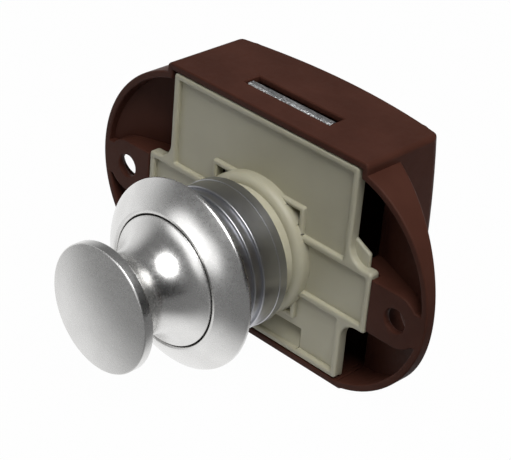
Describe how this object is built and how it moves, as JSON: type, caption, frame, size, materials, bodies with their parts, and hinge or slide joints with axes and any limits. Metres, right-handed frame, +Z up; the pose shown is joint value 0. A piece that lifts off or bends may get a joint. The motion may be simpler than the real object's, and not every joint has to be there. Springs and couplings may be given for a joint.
{
  "type": "push-button cabinet lock",
  "caption": "Push lock for a cabinet door: boxed housing with screw ears, cover plate, chrome rosette and knob that drives a bolt out of the top.",
  "frame": {"origin": "midway between the two screw holes, on the face that meets the inside of the door", "axes": "+X right, +Y into the cabinet, +Z up towards the bolt; the knob points along -Y"},
  "size_m": [0.0718, 0.0523, 0.04],
  "materials": {
    "brown_plastic": "fine moulded grain",
    "cream_plastic": "smooth moulded",
    "satin_chrome": "satin plated",
    "plated_steel": "zinc plated",
    "zinc_bolt": "as cast",
    "spring_steel": "drawn wire"
  },
  "bodies": {
    "case": {"housing": "brown_plastic", "cover_plate": "cream_plastic", "rosette": "satin_chrome", "return_spring": "spring_steel", "follower_wire": "spring_steel"},
    "push_knob": {"knob": "satin_chrome", "plunger": "cream_plastic", "knob_screw": "plated_steel"},
    "bolt": {"latch_bolt": "zinc_bolt"}
  },
  "joints": [
    {"name": "knob_push", "type": "slide", "parent": "case", "child": "push_knob", "axis": [0, 1, 0], "range_m": [0, 0.011], "stiffness_N_per_m": 500, "springref_m": -0.006, "deforming": ["return_spring", "follower_wire"]},
    {"name": "bolt_slide", "type": "slide", "parent": "case", "child": "bolt", "axis": [0, 0, 1], "range_m": [0, 0.0077]}
  ],
  "couplings": [
    {"joint": "bolt_slide", "follows": "knob_push", "ratio": 0.7}
  ]
}
